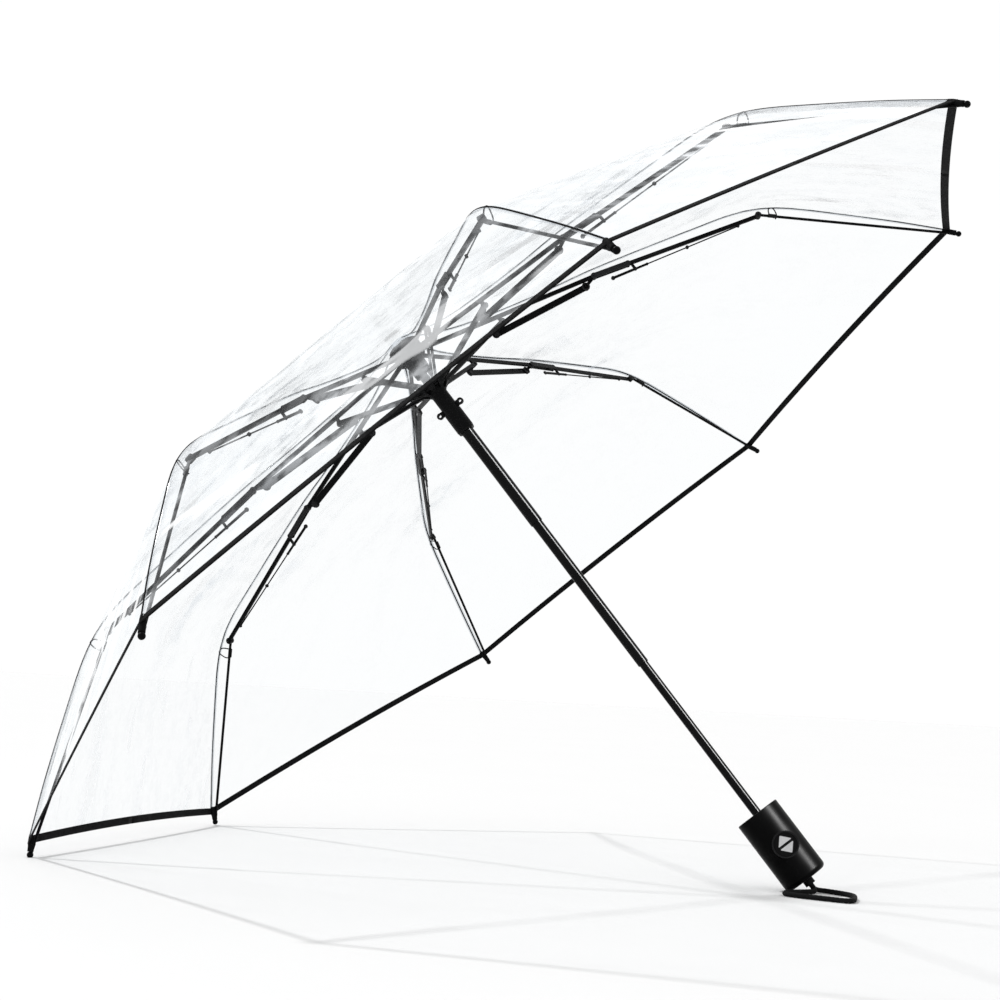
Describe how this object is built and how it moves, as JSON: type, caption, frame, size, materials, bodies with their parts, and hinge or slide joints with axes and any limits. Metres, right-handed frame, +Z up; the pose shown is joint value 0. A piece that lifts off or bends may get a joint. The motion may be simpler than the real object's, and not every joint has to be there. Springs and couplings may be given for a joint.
{
  "type": "folding umbrella",
  "caption": "Clear compact folding umbrella, open and resting on two rib tips and its short handle, with a telescoping shaft, sliding runner and folding three-section ribs.",
  "frame": {"origin": "on the ground under the middle of the open umbrella's box", "axes": "+Z up from the ground; the shaft lies in the XZ plane, with the handle towards +X and the two tips it rests on towards -X; +Y along the ground, across the shaft"},
  "size_m": [0.6982, 0.9124, 0.6017],
  "materials": {
    "black_metal": "satin black paint",
    "black_plastic": "satin",
    "gloss_black": "gloss",
    "clear_film": "clear, glossy",
    "black_binding": "woven tape",
    "spring_steel": "bright wire",
    "clear_plastic": "clear",
    "black_cord": "braided cord"
  },
  "bodies": {
    "handle": {"handle_grip": "gloss_black", "end_cap": "black_plastic", "button_ring": "gloss_black", "button_spring": "spring_steel", "lower_tube": "black_metal", "opening_spring": "spring_steel", "strap_pin": "spring_steel", "strap_ferrule": "black_plastic", "wrist_strap": "black_cord"},
    "button": {"push_button": "gloss_black"},
    "middle_shaft": {"middle_tube": "black_metal"},
    "upper_shaft": {"upper_tube": "black_metal", "crown": "black_plastic", "crown_wire": "spring_steel", "top_cap": "clear_plastic", "canopy_film": "clear_film", "canopy_hem": "black_binding"},
    "runner_body": {"runner": "black_plastic"},
    "top_rib_1_body": {"top_rib_1": "black_metal"},
    "mid_rib_1_body": {"mid_rib_1": "black_metal"},
    "outer_rib_1_body": {"outer_rib_1": "black_metal"},
    "stretcher_1_body": {"stretcher_1": "black_metal"},
    "link_rod_1_body": {"link_rod_1": "black_metal"},
    "top_rib_2_body": {"top_rib_2": "black_metal"},
    "mid_rib_2_body": {"mid_rib_2": "black_metal"},
    "outer_rib_2_body": {"outer_rib_2": "black_metal"},
    "stretcher_2_body": {"stretcher_2": "black_metal"},
    "link_rod_2_body": {"link_rod_2": "black_metal"},
    "top_rib_3_body": {"top_rib_3": "black_metal"},
    "mid_rib_3_body": {"mid_rib_3": "black_metal"},
    "outer_rib_3_body": {"outer_rib_3": "black_metal"},
    "stretcher_3_body": {"stretcher_3": "black_metal"},
    "link_rod_3_body": {"link_rod_3": "black_metal"},
    "top_rib_4_body": {"top_rib_4": "black_metal"},
    "mid_rib_4_body": {"mid_rib_4": "black_metal"},
    "outer_rib_4_body": {"outer_rib_4": "black_metal"},
    "stretcher_4_body": {"stretcher_4": "black_metal"},
    "link_rod_4_body": {"link_rod_4": "black_metal"},
    "top_rib_5_body": {"top_rib_5": "black_metal"},
    "mid_rib_5_body": {"mid_rib_5": "black_metal"},
    "outer_rib_5_body": {"outer_rib_5": "black_metal"},
    "stretcher_5_body": {"stretcher_5": "black_metal"},
    "link_rod_5_body": {"link_rod_5": "black_metal"},
    "top_rib_6_body": {"top_rib_6": "black_metal"},
    "mid_rib_6_body": {"mid_rib_6": "black_metal"},
    "outer_rib_6_body": {"outer_rib_6": "black_metal"},
    "stretcher_6_body": {"stretcher_6": "black_metal"},
    "link_rod_6_body": {"link_rod_6": "black_metal"},
    "top_rib_7_body": {"top_rib_7": "black_metal"},
    "mid_rib_7_body": {"mid_rib_7": "black_metal"},
    "outer_rib_7_body": {"outer_rib_7": "black_metal"},
    "stretcher_7_body": {"stretcher_7": "black_metal"},
    "link_rod_7_body": {"link_rod_7": "black_metal"},
    "top_rib_8_body": {"top_rib_8": "black_metal"},
    "mid_rib_8_body": {"mid_rib_8": "black_metal"},
    "outer_rib_8_body": {"outer_rib_8": "black_metal"},
    "stretcher_8_body": {"stretcher_8": "black_metal"},
    "link_rod_8_body": {"link_rod_8": "black_metal"}
  },
  "joints": [
    {"name": "button_press", "type": "slide", "parent": "handle", "child": "button", "axis": [-0.2105, 0.9613, -0.1779], "range_m": [0, 0.002], "stiffness_N_per_m": 900, "springref_m": -0.0015, "deforming": ["button_spring"]},
    {"name": "middle_tube_slide", "type": "slide", "parent": "handle", "child": "middle_shaft", "axis": [0.6454, 0, -0.7638], "range_m": [0, 0.1405]},
    {"name": "upper_tube_slide", "type": "slide", "parent": "middle_shaft", "child": "upper_shaft", "axis": [0.6454, 0, -0.7638], "range_m": [0, 0.1405]},
    {"name": "runner_slide", "type": "slide", "parent": "upper_shaft", "child": "runner_body", "axis": [0.6454, 0, -0.7638], "range_m": [0, 0.11958], "deforming": ["canopy_film", "canopy_hem"]},
    {"name": "top_rib_1_hinge", "type": "hinge", "parent": "upper_shaft", "child": "top_rib_1_body", "pos_m": [-0.1097, 0.00421, 0.44035], "axis": [0.2923, -0.9239, 0.247], "range_deg": [-77, 0]},
    {"name": "mid_rib_1_hinge", "type": "hinge", "parent": "top_rib_1_body", "child": "mid_rib_1_body", "pos_m": [0.02876, 0.0695, 0.52069], "axis": [0.2923, -0.9239, 0.247], "range_deg": [0, 173.09]},
    {"name": "outer_rib_1_hinge", "type": "hinge", "parent": "mid_rib_1_body", "child": "outer_rib_1_body", "pos_m": [0.16666, 0.13203, 0.59139], "axis": [0.2923, -0.9239, 0.247], "range_deg": [-151.22, 0]},
    {"name": "stretcher_1_hinge", "type": "hinge", "parent": "top_rib_1_body", "child": "stretcher_1_body", "pos_m": [-0.04442, 0.03323, 0.47167], "axis": [0.2923, -0.9239, 0.247], "range_deg": [0, 153.5]},
    {"name": "link_rod_1_hinge", "type": "hinge", "parent": "stretcher_1_body", "child": "link_rod_1_body", "pos_m": [-0.04794, 0.0291, 0.46037], "axis": [0.2923, -0.9239, 0.247], "range_deg": [-154.26, 0]},
    {"name": "top_rib_2_hinge", "type": "hinge", "parent": "upper_shaft", "child": "top_rib_2_body", "pos_m": [-0.11425, 0.01016, 0.43651], "axis": [0.7057, -0.3827, 0.5963], "range_deg": [-77, 0]},
    {"name": "mid_rib_2_hinge", "type": "hinge", "parent": "top_rib_2_body", "child": "mid_rib_2_body", "pos_m": [-0.04631, 0.16778, 0.45726], "axis": [0.7057, -0.3827, 0.5963], "range_deg": [0, 173.09]},
    {"name": "outer_rib_2_hinge", "type": "hinge", "parent": "mid_rib_2_body", "child": "outer_rib_2_body", "pos_m": [0.02404, 0.31874, 0.47088], "axis": [0.7057, -0.3827, 0.5963], "range_deg": [-151.22, 0]},
    {"name": "stretcher_2_hinge", "type": "hinge", "parent": "top_rib_2_body", "child": "stretcher_2_body", "pos_m": [-0.08033, 0.08023, 0.44133], "axis": [0.7057, -0.3827, 0.5963], "range_deg": [0, 153.5]},
    {"name": "link_rod_2_hinge", "type": "hinge", "parent": "stretcher_2_body", "child": "link_rod_2_body", "pos_m": [-0.07938, 0.07025, 0.4338], "axis": [0.7057, -0.3827, 0.5963], "range_deg": [-154.26, 0]},
    {"name": "top_rib_3_hinge", "type": "hinge", "parent": "upper_shaft", "child": "top_rib_3_body", "pos_m": [-0.12068, 0.01016, 0.43108], "axis": [0.7057, 0.3827, 0.5963], "range_deg": [-77, 0]},
    {"name": "mid_rib_3_hinge", "type": "hinge", "parent": "top_rib_3_body", "child": "mid_rib_3_body", "pos_m": [-0.15248, 0.16778, 0.36755], "axis": [0.7057, 0.3827, 0.5963], "range_deg": [0, 173.09]},
    {"name": "outer_rib_3_hinge", "type": "hinge", "parent": "mid_rib_3_body", "child": "outer_rib_3_body", "pos_m": [-0.17765, 0.31874, 0.30046], "axis": [0.7057, 0.3827, 0.5963], "range_deg": [-151.22, 0]},
    {"name": "stretcher_3_hinge", "type": "hinge", "parent": "top_rib_3_body", "child": "stretcher_3_body", "pos_m": [-0.1311, 0.08023, 0.39844], "axis": [0.7057, 0.3827, 0.5963], "range_deg": [0, 153.5]},
    {"name": "link_rod_3_hinge", "type": "hinge", "parent": "stretcher_3_body", "child": "link_rod_3_body", "pos_m": [-0.12383, 0.07025, 0.39624], "axis": [0.7057, 0.3827, 0.5963], "range_deg": [-154.26, 0]},
    {"name": "top_rib_4_hinge", "type": "hinge", "parent": "upper_shaft", "child": "top_rib_4_body", "pos_m": [-0.12523, 0.00421, 0.42723], "axis": [0.2923, 0.9239, 0.247], "range_deg": [-77, 0]},
    {"name": "mid_rib_4_hinge", "type": "hinge", "parent": "top_rib_4_body", "child": "mid_rib_4_body", "pos_m": [-0.22755, 0.0695, 0.30412], "axis": [0.2923, 0.9239, 0.247], "range_deg": [0, 173.09]},
    {"name": "outer_rib_4_hinge", "type": "hinge", "parent": "mid_rib_4_body", "child": "outer_rib_4_body", "pos_m": [-0.32027, 0.13203, 0.17996], "axis": [0.2923, 0.9239, 0.247], "range_deg": [-151.22, 0]},
    {"name": "stretcher_4_hinge", "type": "hinge", "parent": "top_rib_4_body", "child": "stretcher_4_body", "pos_m": [-0.167, 0.03323, 0.3681], "axis": [0.2923, 0.9239, 0.247], "range_deg": [0, 153.5]},
    {"name": "link_rod_4_hinge", "type": "hinge", "parent": "stretcher_4_body", "child": "link_rod_4_body", "pos_m": [-0.15526, 0.0291, 0.36968], "axis": [0.2923, 0.9239, 0.247], "range_deg": [-154.26, 0]},
    {"name": "top_rib_5_hinge", "type": "hinge", "parent": "upper_shaft", "child": "top_rib_5_body", "pos_m": [-0.12523, -0.00421, 0.42723], "axis": [-0.2923, 0.9239, -0.247], "range_deg": [-77, 0]},
    {"name": "mid_rib_5_hinge", "type": "hinge", "parent": "top_rib_5_body", "child": "mid_rib_5_body", "pos_m": [-0.22755, -0.0695, 0.30412], "axis": [-0.2923, 0.9239, -0.247], "range_deg": [0, 173.09]},
    {"name": "outer_rib_5_hinge", "type": "hinge", "parent": "mid_rib_5_body", "child": "outer_rib_5_body", "pos_m": [-0.32027, -0.13203, 0.17996], "axis": [-0.2923, 0.9239, -0.247], "range_deg": [-151.22, 0]},
    {"name": "stretcher_5_hinge", "type": "hinge", "parent": "top_rib_5_body", "child": "stretcher_5_body", "pos_m": [-0.167, -0.03323, 0.3681], "axis": [-0.2923, 0.9239, -0.247], "range_deg": [0, 153.5]},
    {"name": "link_rod_5_hinge", "type": "hinge", "parent": "stretcher_5_body", "child": "link_rod_5_body", "pos_m": [-0.15526, -0.0291, 0.36968], "axis": [-0.2923, 0.9239, -0.247], "range_deg": [-154.26, 0]},
    {"name": "top_rib_6_hinge", "type": "hinge", "parent": "upper_shaft", "child": "top_rib_6_body", "pos_m": [-0.12068, -0.01016, 0.43108], "axis": [-0.7057, 0.3827, -0.5963], "range_deg": [-77, 0]},
    {"name": "mid_rib_6_hinge", "type": "hinge", "parent": "top_rib_6_body", "child": "mid_rib_6_body", "pos_m": [-0.15248, -0.16778, 0.36755], "axis": [-0.7057, 0.3827, -0.5963], "range_deg": [0, 173.09]},
    {"name": "outer_rib_6_hinge", "type": "hinge", "parent": "mid_rib_6_body", "child": "outer_rib_6_body", "pos_m": [-0.17765, -0.31874, 0.30046], "axis": [-0.7057, 0.3827, -0.5963], "range_deg": [-151.22, 0]},
    {"name": "stretcher_6_hinge", "type": "hinge", "parent": "top_rib_6_body", "child": "stretcher_6_body", "pos_m": [-0.1311, -0.08023, 0.39844], "axis": [-0.7057, 0.3827, -0.5963], "range_deg": [0, 153.5]},
    {"name": "link_rod_6_hinge", "type": "hinge", "parent": "stretcher_6_body", "child": "link_rod_6_body", "pos_m": [-0.12383, -0.07025, 0.39624], "axis": [-0.7057, 0.3827, -0.5963], "range_deg": [-154.26, 0]},
    {"name": "top_rib_7_hinge", "type": "hinge", "parent": "upper_shaft", "child": "top_rib_7_body", "pos_m": [-0.11425, -0.01016, 0.43651], "axis": [-0.7057, -0.3827, -0.5963], "range_deg": [-77, 0]},
    {"name": "mid_rib_7_hinge", "type": "hinge", "parent": "top_rib_7_body", "child": "mid_rib_7_body", "pos_m": [-0.04631, -0.16778, 0.45726], "axis": [-0.7057, -0.3827, -0.5963], "range_deg": [0, 173.09]},
    {"name": "outer_rib_7_hinge", "type": "hinge", "parent": "mid_rib_7_body", "child": "outer_rib_7_body", "pos_m": [0.02404, -0.31874, 0.47088], "axis": [-0.7057, -0.3827, -0.5963], "range_deg": [-151.22, 0]},
    {"name": "stretcher_7_hinge", "type": "hinge", "parent": "top_rib_7_body", "child": "stretcher_7_body", "pos_m": [-0.08033, -0.08023, 0.44133], "axis": [-0.7057, -0.3827, -0.5963], "range_deg": [0, 153.5]},
    {"name": "link_rod_7_hinge", "type": "hinge", "parent": "stretcher_7_body", "child": "link_rod_7_body", "pos_m": [-0.07938, -0.07025, 0.4338], "axis": [-0.7057, -0.3827, -0.5963], "range_deg": [-154.26, 0]},
    {"name": "top_rib_8_hinge", "type": "hinge", "parent": "upper_shaft", "child": "top_rib_8_body", "pos_m": [-0.1097, -0.00421, 0.44035], "axis": [-0.2923, -0.9239, -0.247], "range_deg": [-77, 0]},
    {"name": "mid_rib_8_hinge", "type": "hinge", "parent": "top_rib_8_body", "child": "mid_rib_8_body", "pos_m": [0.02876, -0.0695, 0.52069], "axis": [-0.2923, -0.9239, -0.247], "range_deg": [0, 173.09]},
    {"name": "outer_rib_8_hinge", "type": "hinge", "parent": "mid_rib_8_body", "child": "outer_rib_8_body", "pos_m": [0.16666, -0.13203, 0.59139], "axis": [-0.2923, -0.9239, -0.247], "range_deg": [-151.22, 0]},
    {"name": "stretcher_8_hinge", "type": "hinge", "parent": "top_rib_8_body", "child": "stretcher_8_body", "pos_m": [-0.04442, -0.03323, 0.47167], "axis": [-0.2923, -0.9239, -0.247], "range_deg": [0, 153.5]},
    {"name": "link_rod_8_hinge", "type": "hinge", "parent": "stretcher_8_body", "child": "link_rod_8_body", "pos_m": [-0.04794, -0.0291, 0.46037], "axis": [-0.2923, -0.9239, -0.247], "range_deg": [-154.26, 0]}
  ],
  "couplings": [
    {"joint": "upper_tube_slide", "follows": "middle_tube_slide", "ratio": 1},
    {"joint": "top_rib_1_hinge", "follows": "runner_slide", "rad_per_m": -11.166},
    {"joint": "mid_rib_1_hinge", "follows": "runner_slide", "rad_per_m": 25.19},
    {"joint": "outer_rib_1_hinge", "follows": "runner_slide", "rad_per_m": -21.998},
    {"joint": "stretcher_1_hinge", "follows": "runner_slide", "rad_per_m": 22.331},
    {"joint": "link_rod_1_hinge", "follows": "runner_slide", "rad_per_m": -22.442},
    {"joint": "top_rib_2_hinge", "follows": "runner_slide", "rad_per_m": -11.166},
    {"joint": "mid_rib_2_hinge", "follows": "runner_slide", "rad_per_m": 25.19},
    {"joint": "outer_rib_2_hinge", "follows": "runner_slide", "rad_per_m": -21.998},
    {"joint": "stretcher_2_hinge", "follows": "runner_slide", "rad_per_m": 22.331},
    {"joint": "link_rod_2_hinge", "follows": "runner_slide", "rad_per_m": -22.442},
    {"joint": "top_rib_3_hinge", "follows": "runner_slide", "rad_per_m": -11.166},
    {"joint": "mid_rib_3_hinge", "follows": "runner_slide", "rad_per_m": 25.19},
    {"joint": "outer_rib_3_hinge", "follows": "runner_slide", "rad_per_m": -21.998},
    {"joint": "stretcher_3_hinge", "follows": "runner_slide", "rad_per_m": 22.331},
    {"joint": "link_rod_3_hinge", "follows": "runner_slide", "rad_per_m": -22.442},
    {"joint": "top_rib_4_hinge", "follows": "runner_slide", "rad_per_m": -11.166},
    {"joint": "mid_rib_4_hinge", "follows": "runner_slide", "rad_per_m": 25.19},
    {"joint": "outer_rib_4_hinge", "follows": "runner_slide", "rad_per_m": -21.998},
    {"joint": "stretcher_4_hinge", "follows": "runner_slide", "rad_per_m": 22.331},
    {"joint": "link_rod_4_hinge", "follows": "runner_slide", "rad_per_m": -22.442},
    {"joint": "top_rib_5_hinge", "follows": "runner_slide", "rad_per_m": -11.166},
    {"joint": "mid_rib_5_hinge", "follows": "runner_slide", "rad_per_m": 25.19},
    {"joint": "outer_rib_5_hinge", "follows": "runner_slide", "rad_per_m": -21.998},
    {"joint": "stretcher_5_hinge", "follows": "runner_slide", "rad_per_m": 22.331},
    {"joint": "link_rod_5_hinge", "follows": "runner_slide", "rad_per_m": -22.442},
    {"joint": "top_rib_6_hinge", "follows": "runner_slide", "rad_per_m": -11.166},
    {"joint": "mid_rib_6_hinge", "follows": "runner_slide", "rad_per_m": 25.19},
    {"joint": "outer_rib_6_hinge", "follows": "runner_slide", "rad_per_m": -21.998},
    {"joint": "stretcher_6_hinge", "follows": "runner_slide", "rad_per_m": 22.331},
    {"joint": "link_rod_6_hinge", "follows": "runner_slide", "rad_per_m": -22.442},
    {"joint": "top_rib_7_hinge", "follows": "runner_slide", "rad_per_m": -11.166},
    {"joint": "mid_rib_7_hinge", "follows": "runner_slide", "rad_per_m": 25.19},
    {"joint": "outer_rib_7_hinge", "follows": "runner_slide", "rad_per_m": -21.998},
    {"joint": "stretcher_7_hinge", "follows": "runner_slide", "rad_per_m": 22.331},
    {"joint": "link_rod_7_hinge", "follows": "runner_slide", "rad_per_m": -22.442},
    {"joint": "top_rib_8_hinge", "follows": "runner_slide", "rad_per_m": -11.166},
    {"joint": "mid_rib_8_hinge", "follows": "runner_slide", "rad_per_m": 25.19},
    {"joint": "outer_rib_8_hinge", "follows": "runner_slide", "rad_per_m": -21.998},
    {"joint": "stretcher_8_hinge", "follows": "runner_slide", "rad_per_m": 22.331},
    {"joint": "link_rod_8_hinge", "follows": "runner_slide", "rad_per_m": -22.442}
  ]
}
